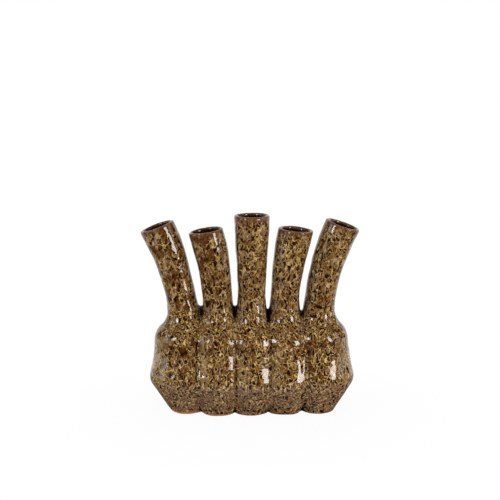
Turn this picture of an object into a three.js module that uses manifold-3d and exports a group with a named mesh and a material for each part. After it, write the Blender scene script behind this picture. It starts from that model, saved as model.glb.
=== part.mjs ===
// A flower vase with five necks, of glazed brown stoneware, in millimetres, +Z up, on its feet.
// Five bottle-shaped lobes are thrown apart, pared flat where they meet and luted side by side,
// so that their insides open into one water chamber. Each lobe ends in a short collar, and a neck
// that was thrown apart and bent by hand is luted on that collar, mouth up.
// The origin is the centre of the middle lobe's flat foot, on the table.

import {
  BoxGeometry, BufferAttribute, BufferGeometry, Group, LatheGeometry, MathUtils, Matrix4, Mesh,
  MeshStandardMaterial, Path, QuadraticBezierCurve, Vector2, Vector3,
} from 'three';
import { mergeVertices } from 'three/addons/utils/BufferGeometryUtils.js';
import Module from 'manifold-3d';

const wasm = await Module();
wasm.setup();

// The row of lobes
const lobePitch = 43;
const collarGap = 1.4;
const lutingGap = 0.3;

// The clay of a lobe
const lobeWall = 5;
const floorThickness = 6;

// The corners of a lobe's outline before they are rounded, as radius and height
const footRadius = 21;
const bellyRadius = 49.2;
const bellyHeight = 44;
const waistRadius = 40.1;
const waistHeight = 76.3;
const shoulderRadius = 38.8;
const shoulderHeight = 105.4;
const collarRadius = (lobePitch - collarGap) / 2;
const collarFootHeight = 123;
const collarHeight = 135.5;

// How far each of those corners is rounded along the two sides that meet in it
const footRound = 4;
const bellyRound = 7.5;
const waistRound = 14;
const shoulderRound = 9;
const collarRound = 9;

// The rim of the tallest neck stands at the vase's height. Every neck tapers from its collar to a waist
// of its own and widens again to the same mouth. The higher the fade, the closer to the collar its
// flare has gone.
const vaseHeight = 260.5;
const mouthRadius = 22.6;
const rootFlareFade = 6;
const neckWall = 4.6;

// How finely the round shapes are divided
const lobeSides = 32;
const outsideRoundingSteps = 3;
const insideRoundingSteps = 2;
const neckSides = 24;
const neckRings = 8;
const lipSteps = 4;

// Place counts the lobes from the middle one. They were set by hand, so a lobe stands a little nearer
// the middle than the pitch, behind the row or above the table, all as shares of the pitch, and leans
// some degrees to the right.
const lobes = [
  { name: 'far_left', place: -2, inset: 0.079, setBack: 0.093, lift: 0.028, lean: -2.2 },
  { name: 'left', place: -1, inset: 0, setBack: -0.023, lift: 0, lean: 0 },
  { name: 'middle', place: 0, inset: 0, setBack: 0, lift: 0, lean: 0 },
  { name: 'right', place: 1, inset: 0, setBack: 0.07, lift: 0, lean: -0.2 },
  { name: 'far_right', place: 2, inset: 0.019, setBack: 0.256, lift: 0, lean: 0.8 },
];

// Each neck's waist is a share of the collar's radius, and its height a share of the vase's. Its reach
// says how far right of its collar the middle of its mouth lies, as a share of the pitch, and the two
// angles how many degrees the neck leans to the right at the collar and its mouth tilts to the right.
const necks = [
  { name: 'far_left', waist: 0.904, height: 0.942, reach: -0.791, rootLean: -7, tilt: -20.5 },
  { name: 'left', waist: 0.904, height: 0.926, reach: -0.36, rootLean: -1, tilt: -9.6 },
  { name: 'middle', waist: 0.846, height: 1, reach: 0.014, rootLean: 0.5, tilt: 0 },
  { name: 'right', waist: 0.87, height: 0.9286, reach: 0.349, rootLean: 1.5, tilt: 6.6 },
  { name: 'far_right', waist: 0.918, height: 0.948, reach: 0.721, rootLean: 3, tilt: 19.8 },
];

// The brown glaze that covers every piece
function glaze() {
  return new MeshStandardMaterial({ color: 0x6e4e23, roughness: 0.22, metalness: 0 });
}

// Where two straight lines of an outline cross
function crossing(startA, alongA, startB, alongB) {
  const between = startB.clone().sub(startA);
  const share = between.cross(alongB) / alongA.cross(alongB);
  return startA.clone().addScaledVector(alongA, share);
}

// The corners of a hollow's outline: every side of the outer one moved in by its own thickness
function insideCorners(corners, thicknesses) {
  const sides = thicknesses.map((thickness, index) => {
    const start = corners[index];
    const along = corners[index + 1].clone().sub(start).normalize();
    const inward = new Vector2(-along.y, along.x);
    return { start: start.clone().addScaledVector(inward, thickness), along };
  });
  const inner = sides.slice(1).map((side, index) => {
    const before = sides[index];
    return crossing(before.start, before.along, side.start, side.along);
  });
  const top = corners[corners.length - 1];
  const topStart = new Vector2(top.x - thicknesses[thicknesses.length - 1], top.y);
  return [new Vector2(0, thicknesses[0]), ...inner, topStart];
}

// The outline through those corners, each rounded over its own length of both sides
function roundedOutline(corners, roundings, steps) {
  const path = new Path();
  path.moveTo(corners[0].x, corners[0].y);
  roundings.forEach((rounding, index) => {
    const corner = corners[index + 1];
    const before = corners[index].clone().sub(corner);
    const after = corners[index + 2].clone().sub(corner);
    const length = Math.min(rounding, before.length() / 2, after.length() / 2);
    const from = before.setLength(length).add(corner);
    const to = after.setLength(length).add(corner);
    path.lineTo(from.x, from.y);
    path.quadraticCurveTo(corner.x, corner.y, to.x, to.y);
  });
  const last = corners[corners.length - 1];
  path.lineTo(last.x, last.y);
  return path.getPoints(steps);
}

// A shape's bare surface, with one vertex wherever several share a place
function welded(shape) {
  const bare = shape.clone();
  bare.deleteAttribute('normal');
  bare.deleteAttribute('uv');
  return mergeVertices(bare);
}

// Turns an outline about the upright axis into a closed shape
function turned(outline, sides) {
  return welded(new LatheGeometry(outline, sides).rotateX(Math.PI / 2));
}

function toSolid(shape) {
  const surface = welded(shape);
  return new wasm.Manifold(new wasm.Mesh({
    numProp: 3,
    vertProperties: Float32Array.from(surface.getAttribute('position').array),
    triVerts: Uint32Array.from(surface.getIndex().array),
  }));
}

function toShape(solid) {
  const mesh = solid.getMesh();
  const shape = new BufferGeometry();
  shape.setAttribute('position', new BufferAttribute(mesh.vertProperties, mesh.numProp));
  shape.setIndex(new BufferAttribute(mesh.triVerts, 1));
  shape.computeVertexNormals();
  return shape;
}

// A whole thrown lobe, from its floor to the rim of its collar
function thrownLobe() {
  const corners = [
    new Vector2(0, 0),
    new Vector2(footRadius, 0),
    new Vector2(bellyRadius, bellyHeight),
    new Vector2(waistRadius, waistHeight),
    new Vector2(shoulderRadius, shoulderHeight),
    new Vector2(collarRadius, collarFootHeight),
    new Vector2(collarRadius, collarHeight),
  ];
  const roundings = [footRound, bellyRound, waistRound, shoulderRound, collarRound];
  const walls = [floorThickness, ...roundings.map(() => lobeWall)];
  const outer = roundedOutline(corners, roundings, outsideRoundingSteps);
  const inner = roundedOutline(insideCorners(corners, walls), roundings, insideRoundingSteps);
  return turned([...outer, ...inner.reverse()], lobeSides);
}

function footMiddle({ place, inset, setBack, lift }) {
  return new Vector3(place - Math.sign(place) * inset, setBack, lift).multiplyScalar(lobePitch);
}

function collarMiddle(lobe) {
  const sideways = Math.tan(MathUtils.degToRad(lobe.lean)) * collarHeight;
  return footMiddle(lobe).add(new Vector3(sideways, 0, collarHeight));
}

function bellyMiddle(lobe) {
  return footMiddle(lobe).lerp(collarMiddle(lobe), bellyHeight / collarHeight);
}

// A block that ends at the flat, upright joint between a lobe and its neighbour, halfway between
// their bellies, and reaches past the lobe in every other direction
function jointBlock(lobe, neighbour) {
  const own = bellyMiddle(lobe);
  const towards = bellyMiddle(neighbour).sub(own).setZ(0);
  const toJoint = (towards.length() - lutingGap) / 2;
  const past = bellyRadius + collarHeight;
  const block = new BoxGeometry(past, past * 2, past * 2).translate(toJoint - past / 2, 0, 0);
  return block.rotateZ(Math.atan2(towards.y, towards.x)).translate(own.x, own.y, 0);
}

function makeLobe(lobe, index) {
  const foot = footMiddle(lobe);
  const lean = Math.tan(MathUtils.degToRad(lobe.lean));
  const shape = thrownLobe();
  shape.applyMatrix4(new Matrix4().makeShear(0, 0, 0, 0, lean, 0));
  let solid = toSolid(shape);
  const neighbours = [lobes[index - 1], lobes[index + 1]].filter((neighbour) => neighbour);
  neighbours.forEach((neighbour) => {
    const block = jointBlock(lobe, neighbour).translate(-foot.x, -foot.y, 0);
    solid = solid.intersect(toSolid(block));
  });
  const mesh = new Mesh(toShape(solid), glaze());
  mesh.name = `lobe_${lobe.name}`;
  mesh.position.copy(foot);
  return mesh;
}

// The outside radius of a neck, from its root at 0 to its mouth at 1
function neckRadiusAt(share, waistRadius) {
  const widening = (mouthRadius - waistRadius) * MathUtils.smoothstep(share, 0, 1);
  const rootFlare = (collarRadius - waistRadius) * (1 - share) ** rootFlareFade;
  return waistRadius + widening + rootFlare;
}

// The closed outline of a straight neck's wall, with its lip rounded to half the wall
function neckOutline(length, waistRadius) {
  const lipRadius = neckWall / 2;
  const side = length - lipRadius;
  const outside = [];
  for (let ring = 0; ring <= neckRings; ring += 1) {
    const share = ring / neckRings;
    outside.push(new Vector2(neckRadiusAt(share, waistRadius), share * side));
  }
  const lip = [];
  const lipMiddle = mouthRadius - lipRadius;
  for (let step = 1; step < lipSteps; step += 1) {
    const angle = Math.PI * step / lipSteps;
    const radius = lipMiddle + lipRadius * Math.cos(angle);
    lip.push(new Vector2(radius, side + lipRadius * Math.sin(angle)));
  }
  const inside = outside.map((point) => new Vector2(point.x - neckWall, point.y)).reverse();
  return [...outside, ...lip, ...inside, outside[0].clone()];
}

// Bends a straight upright neck along a curve from the collar and turns each ring with it
function bend(shape, curve, length, mouthTurn) {
  const points = shape.getAttribute('position');
  for (let index = 0; index < points.count; index += 1) {
    const share = MathUtils.clamp(points.getZ(index) / length, 0, 1);
    const middle = curve.getPointAt(share);
    const turn = mouthTurn * share;
    const across = points.getX(index);
    const y = points.getY(index);
    points.setXYZ(index, middle.x + across * Math.cos(turn), y, middle.y - across * Math.sin(turn));
  }
  return shape;
}

function makeNeck({ name, waist, height, reach, rootLean, tilt }, index) {
  const seat = collarMiddle(lobes[index]).add(new Vector3(0, 0, lutingGap));
  const rise = vaseHeight * height - seat.z;
  const lean = Math.tan(MathUtils.degToRad(rootLean));
  const curve = new QuadraticBezierCurve(
    new Vector2(0, 0),
    new Vector2(lean * rise / 2, rise / 2),
    new Vector2(lobePitch * reach, rise),
  );
  const length = curve.getLength();
  const straight = turned(neckOutline(length, collarRadius * waist), neckSides);
  const shape = bend(straight, curve, length, MathUtils.degToRad(tilt));
  shape.computeVertexNormals();
  const neck = new Mesh(shape, glaze());
  neck.name = `neck_${name}`;
  neck.position.copy(seat);
  return neck;
}

const vase = new Group();
lobes.forEach((lobe, index) => vase.add(makeLobe(lobe, index)));
necks.forEach((neck, index) => vase.add(makeNeck(neck, index)));

export default vase;
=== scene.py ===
import math

import bpy
import numpy as np
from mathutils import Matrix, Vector


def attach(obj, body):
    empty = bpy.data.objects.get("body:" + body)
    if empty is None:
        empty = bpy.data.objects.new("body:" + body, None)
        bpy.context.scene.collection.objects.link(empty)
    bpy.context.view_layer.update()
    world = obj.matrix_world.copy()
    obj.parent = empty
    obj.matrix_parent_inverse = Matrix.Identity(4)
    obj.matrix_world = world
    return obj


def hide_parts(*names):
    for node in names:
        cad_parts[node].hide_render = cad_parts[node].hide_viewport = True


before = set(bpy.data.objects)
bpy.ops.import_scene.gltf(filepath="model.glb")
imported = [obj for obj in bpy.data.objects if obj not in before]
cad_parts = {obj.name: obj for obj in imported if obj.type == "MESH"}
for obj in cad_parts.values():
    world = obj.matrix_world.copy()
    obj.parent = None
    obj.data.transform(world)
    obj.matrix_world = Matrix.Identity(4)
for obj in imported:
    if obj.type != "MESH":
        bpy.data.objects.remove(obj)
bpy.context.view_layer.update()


# The camera stands in front of the vase, a little above it, and looks down on it through a long lens,
# so that all five mouths show as narrow ellipses. It points a hair to the left of the middle neck.
CAMERA_PLACE = (0, -2.232, 0.640)
LOOKS_DOWN = 10.787
TURNED_LEFT = 0.047
LENS = 127.6
SENSOR_WIDTH = 36

camera = bpy.data.objects.new("camera", bpy.data.cameras.new("camera"))
bpy.context.scene.collection.objects.link(camera)
camera.location = CAMERA_PLACE
camera.rotation_euler = (math.radians(90 - LOOKS_DOWN), 0, math.radians(TURNED_LEFT))
camera.data.lens = LENS
camera.data.sensor_width = SENSOR_WIDTH
bpy.context.scene.camera = camera
bpy.context.scene.view_settings.view_transform = "Standard"


# The studio: a wide white table and a white wall far behind it, in a plain white room. The camera sees
# them as white, and a faint share of the table is left to take the shadow of the vase. The glaze
# mirrors the table as white behind the vase, and in front of it only faintly, close to the feet.
WHITE = (1, 1, 1, 1)
TABLE_WHITE = (0.9, 0.9, 0.9, 1)
ROOM_LIGHT = (0.37, 0.355, 0.345, 1)
ROOM_MIRRORED = (0.01, 0.01, 0.01, 1)
TABLE_SIZE = 30
WALL_SIZE = 16
WALL_PLACE = (0, 6, 4)

# Distances from the middle foot, for the back and the front those behind it, and the levels between
# which the table changes over them
SHADOW_SHARE = 0.05
SHADOW_FADES = (0.1, 0.3)
BACK_BRIGHTENS = (0.0, 0.35)
FRONT_DARKENS = (-0.06, -0.02)
FEET_MIRRORED = (0.15, 0.4)
FEET_LEVEL = 0.2
FRONT_LEVEL = 0.01


def new_material(name):
    material = bpy.data.materials.new(name)
    material.use_nodes = True
    material.node_tree.nodes.clear()
    return material


def node(material, kind, settings=None, **inputs):
    """Adds a node. An input is a number, a colour or vector, or another node's output."""
    made = material.node_tree.nodes.new("ShaderNode" + kind)
    for name, value in (settings or {}).items():
        setattr(made, name, value)
    for name, value in inputs.items():
        socket = made.inputs[int(name[1:]) if name[1:].isdigit() else name.replace("_", " ")]
        if isinstance(value, bpy.types.NodeSocket):
            material.node_tree.links.new(value, socket)
        else:
            socket.default_value = value
    return made


def slope(material, value, between, first, last):
    """Goes evenly from the first level to the last between two values."""
    low, high = between
    made = node(material, "MapRange", Value=value, From_Min=low, From_Max=high, To_Min=first, To_Max=last)
    return made.outputs[0]


def either(material, share, shader, other):
    """The one shader where the share is 0, and the other where it is 1."""
    return node(material, "MixShader", _0=share, _1=shader, _2=other).outputs[0]


white = new_material("studio_white")
ray = node(white, "LightPath").outputs
place = node(white, "NewGeometry").outputs["Position"]
away = node(white, "VectorMath", {"operation": "LENGTH"}, _0=place).outputs["Value"]
behind = node(white, "SeparateXYZ", Vector=place).outputs[1]
lit = node(white, "BsdfDiffuse", Color=TABLE_WHITE).outputs[0]
glow = node(white, "Emission", Color=WHITE, Strength=1.0).outputs[0]
seen = either(white, slope(white, away, SHADOW_FADES, SHADOW_SHARE, 0.0), glow, lit)
back = slope(white, behind, BACK_BRIGHTENS, 0.0, 1.0)
feet = slope(white, away, FEET_MIRRORED, FEET_LEVEL, FRONT_LEVEL)
front = slope(white, behind, FRONT_DARKENS, 1.0, 0.0)
feet = node(white, "Math", {"operation": "MULTIPLY"}, _0=feet, _1=front).outputs[0]
level = node(white, "Math", {"operation": "MAXIMUM"}, _0=back, _1=feet).outputs[0]
mirrored = node(white, "Emission", Color=WHITE, Strength=level).outputs[0]
surface = either(white, ray["Is Camera Ray"], lit, seen)
surface = either(white, ray["Is Glossy Ray"], surface, mirrored)
node(white, "OutputMaterial", Surface=surface)

bpy.ops.mesh.primitive_plane_add(size=TABLE_SIZE, location=(0, 0, 0))
table = bpy.context.object
table.name = "table"
table.data.materials.append(white)
bpy.ops.mesh.primitive_plane_add(size=WALL_SIZE, location=WALL_PLACE, rotation=(math.radians(90), 0, 0))
wall = bpy.context.object
wall.name = "wall"
wall.data.materials.append(white)

room = bpy.data.worlds.new("studio")
bpy.context.scene.world = room
room.use_nodes = True
room.node_tree.nodes.clear()
ray = node(room, "LightPath").outputs
light = node(room, "Background", Color=ROOM_LIGHT, Strength=1.0).outputs[0]
dark = node(room, "Background", Color=ROOM_MIRRORED, Strength=1.0).outputs[0]
plain = node(room, "Background", Color=WHITE, Strength=1.0).outputs[0]
surface = either(room, ray["Is Glossy Ray"], light, dark)
surface = either(room, ray["Is Camera Ray"], surface, plain)
node(room, "OutputWorld", Surface=surface)


# Four softboxes light the vase. At the right of the camera stands a large warm one, whose reflection
# runs down every lobe, and at the left a smaller, bluer and weaker one. One far out at each side only
# brightens the flanks. Each has its place, its size, its power and its colour.
LIT_PLACE = Vector((0, 0, 0.1))
SOFTBOXES = {
    "softbox_right": ((1.37, -1.12, 0.55), (0.44, 0.80), 15.5, (1, 0.96, 0.90)),
    "softbox_left": ((-1.1, -1.15, 0.8), (0.36, 0.5), 8, (0.90, 0.93, 1)),
    "reflector_left": ((-1.75, -0.4, 0.6), (0.8, 1.4), 7, (0.97, 0.95, 1)),
    "reflector_right": ((1.8, -0.2, 0.6), (0.6, 1.4), 4, (0.95, 0.95, 1)),
}

for name, (place, size, power, colour) in SOFTBOXES.items():
    lamp = bpy.data.lights.new(name, "AREA")
    lamp.shape = "RECTANGLE"
    lamp.size, lamp.size_y = size
    lamp.energy = power
    lamp.color = colour
    softbox = bpy.data.objects.new(name, lamp)
    bpy.context.scene.collection.objects.link(softbox)
    softbox.location = place
    softbox.rotation_euler = (LIT_PLACE - Vector(place)).to_track_quat("-Z", "Y").to_euler()
    softbox.visible_camera = False


# The five lobes are thrown on the wheel, each as a bottle with a flat foot, a keeled belly, a nearly
# upright wall, a rounded shoulder and a short collar, in 5 mm of stoneware. They are cut flat where
# they meet and luted side by side, the right end of the row a little further back.
LOBE_WALL = 0.005
LOBE_SIDES = 96
CORNER_STEPS = 5
LEVEL_WITHIN = 1e-5
CUT_WITHIN = 1e-6
CUT_OVERLAP = 0.0004
BELLY_HEIGHT = 0.044
COLLAR_RADIUS = 0.0208
COLLAR_HEIGHT = 0.1355

# Radius, height and rounding of each corner of a lobe, from the foot to the rim of the collar
LOBE_CORNERS = [
    (0.021, 0, 0.002),
    (0.0492, BELLY_HEIGHT, 0.0075),
    (0.0401, 0.0763, 0.014),
    (0.0388, 0.1054, 0.009),
    (COLLAR_RADIUS, 0.123, 0.0095),
    (COLLAR_RADIUS, COLLAR_HEIGHT, 0),
]

# Where each foot stands, how far its lobe leans to the right, in degrees, how much higher than the
# others its belly and shoulder are, and how high above the foot the glaze ends
LOBES = {
    "far_left": {"foot": (-0.0826, 0.004, 0.0012), "lean": -2.2, "raised": 0, "bare": 0.0036},
    "left": {"foot": (-0.043, -0.001, 0), "lean": 0, "raised": 0, "bare": 0.0026},
    "middle": {"foot": (0, 0, 0), "lean": 0, "raised": 0, "bare": 0.0020},
    "right": {"foot": (0.043, 0.003, 0), "lean": -0.2, "raised": 0, "bare": 0.0012},
    "far_right": {"foot": (0.0852, 0.009, 0), "lean": 0.8, "raised": 0.0018, "bare": 0.0008},
}


def select_only(piece):
    bpy.ops.object.select_all(action="DESELECT")
    piece.select_set(True)
    bpy.context.view_layer.objects.active = piece


def pull_up(name, rings, sides, has_floor):
    """Shapes clay ring by ring, as on the wheel. A ring is its middle, its radius, and in degrees its tilt
    to the right."""
    bpy.ops.object.select_all(action="DESELECT")
    middle, radius, tilt = rings[0]
    fill = "NGON" if has_floor else "NOTHING"
    bpy.ops.mesh.primitive_circle_add(vertices=sides, radius=radius, fill_type=fill, location=middle)
    piece = bpy.context.object
    piece.name = name
    bpy.ops.object.transform_apply(location=True, rotation=True, scale=True)
    bpy.ops.object.mode_set(mode="EDIT")
    bpy.ops.mesh.select_all(action="SELECT")
    for (last_middle, last_radius, last_tilt), (middle, radius, tilt) in zip(rings, rings[1:]):
        bpy.ops.mesh.extrude_region_move(TRANSFORM_OT_translate={"value": middle - last_middle})
        growth = radius / last_radius
        bpy.ops.transform.resize(value=(growth, growth, growth), center_override=middle)
        turn = math.radians(tilt - last_tilt)
        if turn:
            bpy.ops.transform.rotate(value=-turn, orient_axis="Y", center_override=middle)
    if has_floor:
        bpy.ops.mesh.delete(type="ONLY_FACE")
    bpy.ops.mesh.select_all(action="SELECT")
    bpy.ops.mesh.normals_make_consistent(inside=False)
    bpy.ops.object.mode_set(mode="OBJECT")
    return piece


def round_edges(piece, wanted, rounding, steps):
    """Bevels the edges that are wanted by the places of their ends."""
    select_only(piece)
    bpy.ops.object.mode_set(mode="EDIT")
    bpy.ops.mesh.select_mode(type="EDGE")
    bpy.ops.mesh.select_all(action="DESELECT")
    bpy.ops.object.mode_set(mode="OBJECT")
    places = [vertex.co for vertex in piece.data.vertices]
    for edge in piece.data.edges:
        edge.select = wanted(*(places[end] for end in edge.vertices))
    bpy.ops.object.mode_set(mode="EDIT")
    bpy.ops.mesh.bevel(offset=rounding, segments=steps, affect="EDGES")
    bpy.ops.object.mode_set(mode="OBJECT")


def apply_modifier(piece, kind, **settings):
    select_only(piece)
    modifier = piece.modifiers.new(kind.lower(), kind)
    for name, value in settings.items():
        setattr(modifier, name, value)
    bpy.ops.object.modifier_apply(modifier=modifier.name)


def at_height(lobe, height):
    """The middle of a lobe at a height above its foot."""
    sideways = math.tan(math.radians(LOBES[lobe]["lean"])) * height
    return Vector(LOBES[lobe]["foot"]) + Vector((sideways, 0, height))


def is_level(start, end, height):
    """Whether both ends of an edge are at a height."""
    return abs(start.z - height) + abs(end.z - height) < LEVEL_WITHIN


clay = []
for lobe in LOBES:
    rings = []
    for radius, height, _ in LOBE_CORNERS:
        raised = LOBES[lobe]["raised"] if 0 < height < COLLAR_HEIGHT else 0
        rings.append((at_height(lobe, height + raised), radius, 0))
    thrown = pull_up("thrown_" + lobe, rings, LOBE_SIDES, has_floor=True)
    for (middle, _, _), (_, _, rounding) in zip(rings, LOBE_CORNERS[:-1]):
        round_edges(thrown, lambda start, end: is_level(start, end, middle.z), rounding, CORNER_STEPS)
    apply_modifier(thrown, "SOLIDIFY", thickness=LOBE_WALL, offset=-1, use_even_offset=True)
    clay.append(thrown)

# Each joint stands upright, halfway between two bellies, and faces the lobe on its right
joints = []
row = list(LOBES)
for here, beyond in zip(row, row[1:]):
    bellies = at_height(here, BELLY_HEIGHT), at_height(beyond, BELLY_HEIGHT)
    across = (bellies[1] - bellies[0]).to_2d().to_3d().normalized()
    joints.append({"middle": (bellies[0] + bellies[1]) / 2, "across": across})


def cut_flat(piece, middle, away):
    """Cuts off what lies beyond a plane, in the direction away, and closes the cut."""
    select_only(piece)
    bpy.ops.object.mode_set(mode="EDIT")
    bpy.ops.mesh.select_all(action="SELECT")
    bpy.ops.mesh.bisect(
        plane_co=middle, plane_no=away, use_fill=True, clear_outer=True, threshold=CUT_WITHIN,
    )
    bpy.ops.object.mode_set(mode="OBJECT")


for index, joint in enumerate(joints):
    overlap = joint["across"] * CUT_OVERLAP
    cut_flat(clay[index], joint["middle"] + overlap, joint["across"])
    cut_flat(clay[index + 1], joint["middle"] - overlap, -joint["across"])


# The five necks are thrown as tubes of 4.6 mm of the same clay, with a rounded lip, bent by hand while
# they are soft and luted on the collars. The middle one is upright, and the end ones bend the most.
NECK_WALL = 0.0046
NECK_SIDES = 72
NECK_RINGS = 14
MOUTH_RADIUS = 0.0226
ROOT_IN_COLLAR = 0.003
LIP_ROUNDING = 0.0021
LIP_STEPS = 4
RIM_DEPTH = 0.0008
CURVE_STEPS = 400

# The waist's radius, how fast the flare at the root fades, where the middle of the mouth is, seen from
# the collar's middle on the table, and in degrees the lean at the root and the tilt of the mouth
NECKS = {
    "far_left": {"waist": 0.0184, "fade": 7, "mouth": (-0.0337, 0.2454), "root_lean": -8.2, "tilt": -20.5},
    "left": {"waist": 0.0186, "fade": 9, "mouth": (-0.0159, 0.2409), "root_lean": -0.8, "tilt": -9.6},
    "middle": {"waist": 0.0172, "fade": 12, "mouth": (0.0006, 0.2601), "root_lean": 0.7, "tilt": 0},
    "right": {"waist": 0.0178, "fade": 9, "mouth": (0.0149, 0.2416), "root_lean": 1.5, "tilt": 6.6},
    "far_right": {"waist": 0.0190, "fade": 7, "mouth": (0.0310, 0.247), "root_lean": 4.2, "tilt": 19.8},
}


def between_points(points, run, at):
    """The place that far along a line of points."""
    return Vector(np.interp(at, run, [point[axis] for point in points]) for axis in range(3))


def bent_line(start, control, end, steps):
    """Points at equal distances along the curve that a bent neck follows."""
    shares = np.linspace(0, 1, CURVE_STEPS)
    fine = [start * (1 - t) ** 2 + control * 2 * t * (1 - t) + end * t * t for t in shares]
    run = np.concatenate([[0], np.cumsum([(b - a).length for a, b in zip(fine, fine[1:])])])
    return [between_points(fine, run, at) for at in np.linspace(0, run[-1], steps + 1)]


def is_rim(start, end, mouth, up):
    """Whether an edge runs round the mouth, on the outside or the inside of the wall."""
    level = all(abs((place - mouth).dot(up)) < RIM_DEPTH for place in (start, end))
    return level and abs((start - mouth).length - (end - mouth).length) < RIM_DEPTH


bores = {}
for lobe, neck in NECKS.items():
    seat = at_height(lobe, COLLAR_HEIGHT)
    mouth = Vector((seat.x + neck["mouth"][0], seat.y, neck["mouth"][1]))
    rise = mouth.z - seat.z
    control = seat + Vector((math.tan(math.radians(neck["root_lean"])) * rise / 2, 0, rise / 2))
    rings = [(seat - Vector((0, 0, ROOT_IN_COLLAR)), COLLAR_RADIUS, 0)]
    for ring, middle in enumerate(bent_line(seat, control, mouth, NECK_RINGS)):
        share = ring / NECK_RINGS
        widening = (MOUTH_RADIUS - neck["waist"]) * share * share * (3 - 2 * share)
        root_flare = (COLLAR_RADIUS - neck["waist"]) * (1 - share) ** neck["fade"]
        rings.append((middle, neck["waist"] + widening + root_flare, neck["tilt"] * share))
    thrown = pull_up("thrown_neck_" + lobe, rings, NECK_SIDES, has_floor=False)
    apply_modifier(thrown, "SOLIDIFY", thickness=NECK_WALL, offset=-1, use_even_offset=True)
    tilt = math.radians(neck["tilt"])
    along = Vector((math.sin(tilt), 0, math.cos(tilt)))
    round_edges(thrown, lambda start, end: is_rim(start, end, mouth, along), LIP_ROUNDING, LIP_STEPS)
    clay.append(thrown)
    bores[lobe] = (rings, mouth, along)


# Slip and glaze join the pieces into one skin. They fill the crotch between two collars, more so at the
# left, and soften every seam of the belly into a fillet. The hand-made surface waves a little all over.
CROTCH_HEIGHTS = [0.1412, 0.1418, 0.1352, 0.1342]
CROTCH_FOOT = 0.112
CROTCH_RADIUS = 0.0022
CROTCH_DEPTH = 2.2
CROTCH_SIDES = 24
GRAIN = 0.001
SEAM_WIDTH = 0.005
SEAM_HEIGHTS = [0.004, 0.022, 0.104, 0.12]
SKIN_SOFTENING = {"factor": 0.5, "iterations": 6}
SEAM_SOFTENING = {"factor": 0.6, "iterations": 45}

for here, beyond, top in zip(row, row[1:], CROTCH_HEIGHTS):
    bpy.ops.object.select_all(action="DESELECT")
    middle = (at_height(here, COLLAR_HEIGHT) + at_height(beyond, COLLAR_HEIGHT)) / 2
    middle.z = (top + CROTCH_FOOT) / 2
    bpy.ops.mesh.primitive_cylinder_add(
        vertices=CROTCH_SIDES, radius=CROTCH_RADIUS, depth=top - CROTCH_FOOT, location=middle,
    )
    slip = bpy.context.object
    bpy.ops.transform.resize(value=(1, CROTCH_DEPTH, 1))
    bpy.ops.object.transform_apply(location=True, rotation=True, scale=True)
    clay.append(slip)

bpy.ops.object.select_all(action="DESELECT")
for thrown in clay:
    thrown.select_set(True)
bpy.context.view_layer.objects.active = clay[0]
bpy.ops.object.join()
skin = bpy.context.object
skin.name = "skin"
apply_modifier(skin, "REMESH", mode="VOXEL", voxel_size=GRAIN)


def vertex_places(piece):
    places = np.empty(len(piece.data.vertices) * 3)
    piece.data.vertices.foreach_get("co", places)
    return places.reshape(-1, 3)


def right_of(joint, places):
    """How far right of a joint each place lies."""
    return (places - joint["middle"]) @ np.array(joint["across"])


def weigh(piece, name, weights, levels=20):
    """Makes a vertex group of these weights, each rounded to one of the levels."""
    group = piece.vertex_groups.new(name=name)
    steps = np.rint(weights * levels).astype(int)
    for step in range(1, levels + 1):
        group.add(np.flatnonzero(steps == step).tolist(), step / levels, "REPLACE")


places = vertex_places(skin)
nearest = np.min([np.abs(right_of(joint, places)) for joint in joints], axis=0)
in_belly = np.interp(places[:, 2], SEAM_HEIGHTS, [0, 1, 1, 0])
weigh(skin, "seam", np.exp(-((nearest / SEAM_WIDTH) ** 2)) * in_belly)
apply_modifier(skin, "SMOOTH", **SKIN_SOFTENING)
apply_modifier(skin, "SMOOTH", **SEAM_SOFTENING, vertex_group="seam")

# The surface waves twice, in long waves and in short ones: their length, and their height from trough
# to crest. The place picks the pattern.
WAVES = [(0.022, 0.0011), (0.007, 0.00035)]
WAVES_FROM = (0.31, 0.07, 0.19)

for length, height in WAVES:
    cloud = bpy.data.textures.new("waves", "CLOUDS")
    cloud.noise_scale = length
    cloud.noise_depth = 0
    bpy.ops.object.empty_add(location=WAVES_FROM)
    origin = bpy.context.object
    apply_modifier(
        skin, "DISPLACE", texture=cloud, texture_coords="OBJECT", texture_coords_object=origin,
        strength=height, mid_level=0.5,
    )
    bpy.data.objects.remove(origin)

# Where fingers pressed the soft clay a little flat: the middle of the mark, its reach across and up, how
# far it leans to the right for each metre up, and its depth
FINGER_MARKS = {
    "neck": {
        "middle": (-0.1048, -0.0152, 0.232), "reach": (0.0064, 0.010), "lean": -0.5, "depth": 0.0006,
    },
    "belly": {
        "middle": (0.0206, -0.0385, 0.0625), "reach": (0.009, 0.013), "lean": 0.25, "depth": 0.00045,
    },
}
MARK_LEVELS = 400

for name, mark in FINGER_MARKS.items():
    across, behind, above = (vertex_places(skin) - np.array(mark["middle"])).T
    aside = np.hypot(across - mark["lean"] * above, behind)
    pressed = np.exp(-((aside / mark["reach"][0]) ** 2) - (above / mark["reach"][1]) ** 2)
    weigh(skin, name, pressed, MARK_LEVELS)
    apply_modifier(skin, "DISPLACE", strength=-mark["depth"], mid_level=0, vertex_group=name)


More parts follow.
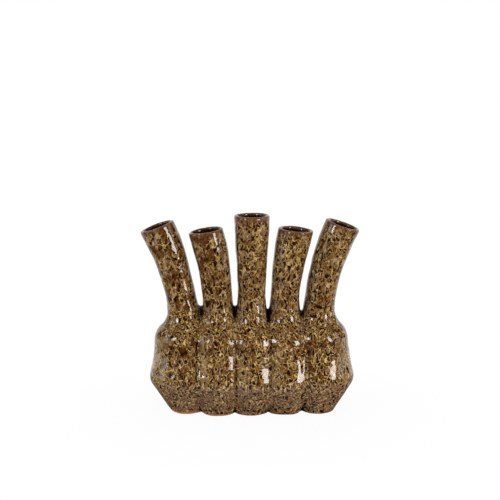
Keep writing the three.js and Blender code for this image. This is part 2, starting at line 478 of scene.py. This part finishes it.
# The finish: one glossy brown glaze on every piece. Golden threads curl over a mid brown with nearly
# black flecks, red brown patches and clouds of purple grey, all drawn out a little as the glaze ran
# down. On the necks the threads run into dabs of tan, and below the keel all is greyer and more even.
MID_BROWN = (0.148, 0.057, 0.005, 1)
DEEP_BROWN = (0.055, 0.013, 0.0008, 1)
RED_BROWN = (0.085, 0.025, 0.003, 1)
NEAR_BLACK = (0.014, 0.0024, 0.0002, 1)
POOL_AND_SHADE_BLACK = (0.005, 0.0016, 0.0005, 1)
TAN = (0.74, 0.535, 0.240, 1)
DULL_TAN = (0.30, 0.182, 0.058, 1)
PAINTED_LIGHT_TAN = (0.42, 0.295, 0.145, 1)
DAB_TAN = (0.44, 0.30, 0.125, 1)
PURPLE_GREY = (0.265, 0.145, 0.112, 1)
GLOSSY = 0.04
MATT = 0.64

# The sizes of what is in the glaze, each with the place that its pattern is taken from
CURL_SIZE = 0.004
CURL_REACH = 0.0045
DRAWN_OUT = 0.66
PATCH = (0.008, (1.7, 0, 4.2))
MOTTLE = (0.0036, (3.1, 0, 0))
PURPLE_CLOUD = (0.012, (0, 5.3, 0))
DAB = (0.0042, (0, 8.1, 2.2))
DULL_THREAD = (0.0030, (0, 0, 7.7))
FLECK = (0.0036, (9.4, 2.0, 0))
THREAD = (0.0038, (0, 0, 0))


def calc(material, operation, *values):
    inputs = {f"_{index}": value for index, value in enumerate(values)}
    return node(material, "Math", {"operation": operation}, **inputs).outputs[0]


def times(material, value, other):
    return calc(material, "MULTIPLY", value, other)


def scaled(material, value, by, plus):
    return calc(material, "MULTIPLY_ADD", value, by, plus)


def ramp(material, value, low, high):
    """Rises smoothly from 0 at low to 1 at high."""
    smooth = {"interpolation_type": "SMOOTHSTEP"}
    return node(material, "MapRange", smooth, Value=value, From_Min=low, From_Max=high).outputs[0]


def fall(material, value, low, high):
    """Falls smoothly from 1 at low to 0 at high."""
    return calc(material, "SUBTRACT", 1.0, ramp(material, value, low, high))


def blend(material, share, under, over):
    return node(material, "Mix", {"data_type": "RGBA"}, _0=share, _6=under, _7=over).outputs[2]


def attribute(material, name):
    return node(material, "Attribute", {"attribute_name": name}).outputs["Fac"]


def clouds(material, vector, size, detail=0.0):
    return node(material, "TexNoise", Vector=vector, Scale=1 / size, Detail=detail).outputs


def pattern(material, vector, kind, detail=0.0):
    """Soft clouds of a kind's size, from its own place."""
    size, start = kind
    shifted = node(material, "VectorMath", {"operation": "ADD"}, _0=vector, _1=start).outputs[0]
    return clouds(material, shifted, size, detail)[0]


def threads(material, vector, kind, width):
    """Thin curling lines, where the clouds of a kind pass their middle value."""
    level = calc(material, "SUBTRACT", pattern(material, vector, kind), 0.5)
    return fall(material, calc(material, "ABSOLUTE", level), width * 0.4, width)


def wander(material, place, size, reach):
    """A height that wanders up and down along an edge, by half the reach each way."""
    return scaled(material, clouds(material, place, size, 2.0)[0], reach, -reach / 2)


def mottled(glaze, place, grain, patches_and_shade, soft, haze):
    """The colour of the glaze and its relief. The higher the share of patches, the more red brown patches
    cover its threads; where that share stands for shade, they are painted shade. The softer, the more they
    run into dabs. The haze is where it is purple grey all over. The skin's attributes add painted light
    and shade, and near black where the glaze pools and shade falls. Each ramp gives the levels of a
    pattern between which its colour sets in, and each blend its share."""
    tall = node(glaze, "Mapping", Vector=place, Scale=(1 / grain, 1 / grain, DRAWN_OUT / grain)).outputs[0]
    curl = clouds(glaze, tall, CURL_SIZE, 1.0)[1]
    curl = node(glaze, "VectorMath", {"operation": "SUBTRACT"}, _0=curl, _1=(0.5, 0.5, 0.5)).outputs[0]
    curl = node(glaze, "VectorMath", {"operation": "SCALE"}, _0=curl, Scale=CURL_REACH).outputs[0]
    curled = node(glaze, "VectorMath", {"operation": "ADD"}, _0=tall, _1=curl).outputs[0]
    painted_light_and_shade = attribute(glaze, "painted_light_and_shade")

    mottle = ramp(glaze, pattern(glaze, curled, MOTTLE, 1.0), 0.43 + 0.04 * soft, 0.55 + 0.03 * soft)
    colour = blend(glaze, mottle, DEEP_BROWN, MID_BROWN)
    cloud = ramp(glaze, pattern(glaze, tall, PURPLE_CLOUD, 2.0), 0.53, 0.66 - 0.03 * soft)
    purple = calc(glaze, "MAXIMUM", times(glaze, cloud, 0.45 + 0.35 * soft), times(glaze, haze, 0.55))
    colour = blend(glaze, purple, colour, PURPLE_GREY)
    dab = ramp(glaze, pattern(glaze, curled, DAB, 2.0), 0.515, 0.60)
    colour = blend(glaze, times(glaze, dab, soft), colour, DAB_TAN)
    # Painted shade: where the attribute is above 0, more red brown patches darken the glaze
    patches_and_shade = calc(glaze, "ADD", patches_and_shade, calc(glaze, "MAXIMUM", painted_light_and_shade, 0.0))
    patch_and_shade = times(glaze, ramp(glaze, pattern(glaze, curled, PATCH, 2.0), 0.46, 0.58), patches_and_shade)
    colour = blend(glaze, times(glaze, patch_and_shade, 0.8), colour, RED_BROWN)

    dull = times(glaze, threads(glaze, curled, DULL_THREAD, 0.06), scaled(glaze, haze, -0.3, 0.85))
    colour = blend(glaze, times(glaze, dull, scaled(glaze, patch_and_shade, -0.7, 1.0)), colour, DULL_TAN)
    # Painted light: where the attribute is below 0, the glaze is painted pale tan
    painted_light = calc(glaze, "MAXIMUM", times(glaze, painted_light_and_shade, -0.4), 0.0)
    colour = blend(glaze, painted_light, colour, PAINTED_LIGHT_TAN)
    fleck = scaled(glaze, haze, 0.015, pattern(glaze, curled, FLECK, 1.0))
    fleck = ramp(glaze, fleck, 0.545 - 0.02 * soft, 0.59 - 0.015 * soft)
    colour = blend(glaze, times(glaze, fleck, 0.95), colour, NEAR_BLACK)
    bright = times(glaze, threads(glaze, curled, THREAD, 0.044), 1 - 0.45 * soft)
    thread = times(glaze, bright, scaled(glaze, patch_and_shade, -0.8, 1.0))
    colour = blend(glaze, times(glaze, thread, scaled(glaze, haze, -0.1, 0.96)), colour, TAN)

    # Near black where the glaze pools, and painted shade in the crotches, creases and notches
    colour = blend(glaze, attribute(glaze, "pooled_glaze_and_shade"), colour, POOL_AND_SHADE_BLACK)
    relief = calc(glaze, "SUBTRACT", times(glaze, thread, 0.5), times(glaze, fleck, 0.5))
    return colour, relief


def finished(glaze, colour, roughness, relief):
    """Puts the colour on the shader, with the faint relief of the glaze."""
    bump = node(glaze, "Bump", Height=relief, Strength=0.08, Distance=0.0003).outputs[0]
    shader = node(glaze, "BsdfPrincipled", Base_Color=colour, Roughness=roughness, Normal=bump, IOR=1.5)
    node(glaze, "OutputMaterial", Surface=shader.outputs[0])


# The skin carries two attributes. The first paints near black where the glaze pools and where shade falls,
# as painted shade, in the crotches and the creases of the wall, and as painted shade alone in the notches
# between the feet. The second is painted light and shade: the glaze is painted pale beside the seams and
# on the two end flanks, and darker on the front of the far left lobe and the side of the far right.
POOL_AND_SHADE_WIDTH = 0.0046
POOL_AND_SHADE_FADE = 0.004
POOL_AND_SHADE_NARROWS = 0.012
POOL_AND_SHADE_NARROWEST = 0.55
POOL_AND_SHADE_TOP = (0.142, 0.15)
NOTCH_SHADE_WIDTH = 0.0034
NOTCH_SHADE_NARROWEST = 0.25
CREASE_WIDTH = 0.0016
CREASE_LEVEL = 0.5
SEAM_PAINTED_LIGHT_ASIDE = 0.0085
SEAM_PAINTED_LIGHT_WIDTH = 0.005
WALL_HEIGHTS = [0.03, 0.05, 0.098, 0.106]

# Where the pooled glaze and painted shade in each crotch end below, how high the painted shade between two
# feet reaches, how far right of the joint the darkened crease of the wall lies, and how much painted light
# falls beside it
JOINT_POOLS_SHADE_AND_LIGHT = [
    {"foot": 0.130, "notch": 0.010, "crease": -0.002, "painted_light": 0.9},
    {"foot": 0.129, "notch": 0.012, "crease": 0.001, "painted_light": 0.7},
    {"foot": 0.123, "notch": 0.010, "crease": 0.001, "painted_light": 0.8},
    {"foot": 0.129, "notch": 0.016, "crease": 0.004, "painted_light": 0.0},
]

# Painted light and shade along the row, a painted highlight on the rib above the second joint, and a pit
# at the far left
PAINTED_LIGHT_FLANKS = ([-0.118, -0.103, 0.108, 0.12], [1.2, 0, 0, 0.8])
PAINTED_SHADE_FRONTS = ([-0.1, -0.093, -0.078, -0.07, 0.07, 0.074, 0.08, 0.084], [0, 0.6, 0.6, 0, 0, 0.5, 0.5, 0])
RIB_JOINT = 1
RIB_HALF_WIDTH = 0.0018
RIB_HEIGHTS = (0.105, 0.122)
RIB_PAINTED_HIGHLIGHT = -2
PIT_PLACE = (-0.104, 0.0587)
PIT_REACH = (0.0024, 0.0032)


def give(piece, name, values):
    piece.data.attributes.new(name, "FLOAT", "POINT").data.foreach_set("value", values)


def bump_at(distance, width, power):
    """1 in the middle, and next to nothing beyond the width. The power says how steep its sides are."""
    return np.exp(-((distance / width) ** power))


places = vertex_places(skin)
sideways, behind, height = places.T
pooled_glaze_and_shade = np.zeros(len(places))
painted_light_and_shade = np.zeros(len(places))
on_wall = np.interp(height, WALL_HEIGHTS, [0, 1, 1, 0])
# Painted shade in each crotch, notch and crease, partly pooled glaze, and painted light beside each seam
for joint, joint_shading in zip(joints, JOINT_POOLS_SHADE_AND_LIGHT):
    aside = right_of(joint, places)
    in_crotch = np.interp(height, [joint_shading["foot"] - POOL_AND_SHADE_FADE, joint_shading["foot"], *POOL_AND_SHADE_TOP], [0, 1, 1, 0])
    narrowing = np.interp(height, [joint_shading["foot"], joint_shading["foot"] + POOL_AND_SHADE_NARROWS], [POOL_AND_SHADE_NARROWEST, 1])
    crotch = bump_at(aside, POOL_AND_SHADE_WIDTH * narrowing, 4) * in_crotch
    in_notch = np.interp(height, [joint_shading["notch"] / 2, joint_shading["notch"]], [1, 0])
    narrowing = np.interp(height, [0, joint_shading["notch"]], [1, NOTCH_SHADE_NARROWEST])
    notch = bump_at(aside, NOTCH_SHADE_WIDTH * narrowing, 4) * in_notch
    crease = bump_at(aside - joint_shading["crease"], CREASE_WIDTH, 2) * on_wall * CREASE_LEVEL
    pooled_glaze_and_shade = np.maximum.reduce([pooled_glaze_and_shade, crotch, notch, crease])
    painted_light_and_shade -= bump_at(aside - SEAM_PAINTED_LIGHT_ASIDE, SEAM_PAINTED_LIGHT_WIDTH, 2) * on_wall * joint_shading["painted_light"]
# Painted light on the two end flanks, and painted shade on the dark fronts
painted_light_and_shade -= np.interp(sideways, *PAINTED_LIGHT_FLANKS) * on_wall
painted_light_and_shade += np.interp(sideways, *PAINTED_SHADE_FRONTS) * on_wall
# A painted highlight on the rib above the second joint
on_rib = np.abs(right_of(joints[RIB_JOINT], places)) < RIB_HALF_WIDTH
painted_light_and_shade[on_rib & (height > RIB_HEIGHTS[0]) & (height < RIB_HEIGHTS[1])] = RIB_PAINTED_HIGHLIGHT
pit = np.hypot((sideways - PIT_PLACE[0]) / PIT_REACH[0], (height - PIT_PLACE[1]) / PIT_REACH[1])
pooled_glaze_and_shade = np.maximum(pooled_glaze_and_shade, bump_at(pit, 1, 4) * (behind < 0))
give(skin, "painted_light_and_shade", painted_light_and_shade)
give(skin, "pooled_glaze_and_shade", pooled_glaze_and_shade)
select_only(skin)
bpy.ops.object.shade_smooth()


# The lobes are parted again from the skin, along the flat joints that luted them, each below the seat
# of its neck. They keep the shading of the whole skin, so that no joint shows. The glaze turns purple
# grey below the keel and stops short of the foot, where the red clay is bare and matt.
RED_CLAY = (0.62, 0.22, 0.06, 1)
SEAT_GAP = 0.00015

# The heights where the patches below the shoulder set in and end, those over which the glaze changes at
# the keel and at the bare clay, and how long and how high its edges there wander
PATCHES_SET_IN = (0.080, 0.092)
PATCHES_END = (0.098, 0.106)
KEEL_EDGE = (0.0452, 0.0472)
KEEL_WANDERS = (0.012, 0.005)
BARE_EDGE = (-0.0003, 0.0003)
BARE_WANDERS = (0.006, 0.0024)


def kept(piece, middle, away, name):
    """A copy of a piece without what lies beyond a plane."""
    select_only(piece)
    bpy.ops.object.duplicate()
    copy = bpy.context.object
    copy.name = name
    cut_flat(copy, middle, away)
    return copy


def parted(rest, middle, across, name):
    """Parts what is left of the row at a plane. Gives the piece on its left and the rest on its right."""
    sides = kept(rest, middle, across, name), kept(rest, middle, -across, "rest")
    if rest is not skin:
        bpy.data.objects.remove(rest)
    return sides


def finish_piece(piece, node_name, material):
    apply_modifier(
        piece, "DATA_TRANSFER", object=skin, use_loop_data=True,
        data_types_loops={"CUSTOM_NORMAL"}, loop_mapping="POLYINTERP_NEAREST",
    )
    piece.data.materials.clear()
    piece.data.materials.append(material)
    piece.name = node_name + "_look"
    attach(piece, "root")
    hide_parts(node_name)


def lobe_glaze():
    glaze = new_material("lobe_glaze")
    place = node(glaze, "TexCoord").outputs["Object"]
    height = node(glaze, "SeparateXYZ", Vector=place).outputs[2]
    height = calc(glaze, "ADD", height, wander(glaze, place, *KEEL_WANDERS))
    under_keel = fall(glaze, height, *KEEL_EDGE)
    below_shoulder = times(glaze, ramp(glaze, height, *PATCHES_SET_IN), fall(glaze, height, *PATCHES_END))
    patches_and_shade = scaled(glaze, below_shoulder, 0.85, 0.25)
    colour, relief = mottled(glaze, place, grain=1.0, patches_and_shade=patches_and_shade, soft=0.15, haze=under_keel)
    rise = calc(glaze, "ADD", attribute(glaze, "above_bare"), wander(glaze, place, *BARE_WANDERS))
    bare = fall(glaze, rise, *BARE_EDGE)
    colour = blend(glaze, bare, colour, RED_CLAY)
    finished(glaze, colour, scaled(glaze, bare, MATT - GLOSSY, GLOSSY), relief)
    return glaze


up = Vector((0, 0, 1))
seats = {lobe: at_height(lobe, COLLAR_HEIGHT + SEAT_GAP) for lobe in LOBES}
shiny = lobe_glaze()
rest = skin
for index, lobe in enumerate(row):
    piece = rest
    if index < len(joints):
        joint = joints[index]
        piece, rest = parted(rest, joint["middle"], joint["across"], "lobe_" + lobe)
    foot = Vector(LOBES[lobe]["foot"])
    cut_flat(piece, seats[lobe], up)
    cut_flat(piece, foot, -up)
    give(piece, "above_bare", vertex_places(piece)[:, 2] - foot.z - LOBES[lobe]["bare"])
    finish_piece(piece, "lobe_" + lobe, shiny)


# The necks are parted from the skin in the wedges between them, each above its collar. On the left of the
# row more red brown patches are painted on as painted shade. The glaze runs thin and rust brown below the
# lip, is painted paler on its edge as a painted reflection, and is painted nearly black inside as painted
# shade.
RUST = (0.118, 0.038, 0.011, 1)
PAINTED_LIP_REFLECTION = (0.22, 0.12, 0.07, 1)
MOUTH_PAINTED_SHADE = (0.022, 0.007, 0.0015, 1)
INSIDE_EDGE = 0.001
BORE_STEPS = 120

# Across the row, where the painted shade of the left necks fades, and how far below the lip it is rusty,
# painted black inside as shade and painted pale as a reflection: each colour fades between two places.
# Last, how long and how high its edge there wanders.
SHADED_LEFT_OF_ROW = (-0.06, -0.02)
RUST_FADES = (0.002, 0.010)
MOUTH_SHADE_SETS_IN = (0.001, 0.004)
LIP_REFLECTION_FADES = (0.0005, 0.0022)
LIP_WANDERS = (0.009, 0.009)


def neck_glaze():
    glaze = new_material("neck_glaze")
    place = node(glaze, "TexCoord").outputs["Object"]
    sideways = node(glaze, "SeparateXYZ", Vector=place).outputs[0]
    # Painted shade: the necks at the left of the row get more red brown patches
    patches_and_shade = scaled(glaze, fall(glaze, sideways, *SHADED_LEFT_OF_ROW), 0.5, 0.6)
    colour, relief = mottled(glaze, place, grain=1.1, patches_and_shade=patches_and_shade, soft=0.7, haze=0.0)
    below_lip = attribute(glaze, "below_lip")
    lip = calc(glaze, "ADD", below_lip, wander(glaze, place, *LIP_WANDERS))
    colour = blend(glaze, times(glaze, fall(glaze, lip, *RUST_FADES), 0.75), colour, RUST)
    # Painted shade: the inside of the mouth is painted nearly black
    mouth = times(glaze, attribute(glaze, "inside"), ramp(glaze, below_lip, *MOUTH_SHADE_SETS_IN))
    colour = blend(glaze, mouth, colour, MOUTH_PAINTED_SHADE)
    # A painted reflection: the edge of the lip is painted paler
    colour = blend(glaze, times(glaze, fall(glaze, lip, *LIP_REFLECTION_FADES), 0.3), colour, PAINTED_LIP_REFLECTION)
    finished(glaze, colour, GLOSSY, relief)
    return glaze


def depth_inside(places, rings):
    """How far each place lies inward of the middle of a neck's wall."""
    line = np.array([middle for middle, _, _ in rings])
    fine = np.linspace(0, len(line) - 1, BORE_STEPS)
    line = np.stack([np.interp(fine, np.arange(len(line)), line[:, axis]) for axis in range(3)], axis=1)
    radii = np.interp(fine, np.arange(len(rings)), [radius for _, radius, _ in rings])
    gaps = np.linalg.norm(places[:, None] - line[None], axis=2)
    closest = gaps.argmin(axis=1)
    return radii[closest] - NECK_WALL / 2 - gaps[np.arange(len(places)), closest]


def wedge(index):
    """The plane between a neck and the one on its right: a place on it and the direction across it."""
    joint = joints[index]
    low = joint["middle"].copy()
    low.z = seats[row[index]].z
    high = (bores[row[index]][1] + bores[row[index + 1]][1]) / 2
    across = Vector((high.z - low.z, 0, low.x - high.x)).normalized()
    across.y = joint["across"].y
    return low, across


shiny = neck_glaze()
rest = kept(skin, seats["middle"], -up, "rest")
for index, lobe in enumerate(row):
    piece = rest
    if index < len(joints):
        piece, rest = parted(rest, *wedge(index), "neck_" + lobe)
    cut_flat(piece, seats[lobe], -up)
    rings, mouth, along = bores[lobe]
    places = vertex_places(piece)
    give(piece, "below_lip", (np.array(mouth) - places) @ np.array(along))
    give(piece, "inside", np.clip(depth_inside(places, rings) / INSIDE_EDGE, 0, 1))
    finish_piece(piece, "neck_" + lobe, shiny)

bpy.data.objects.remove(skin)
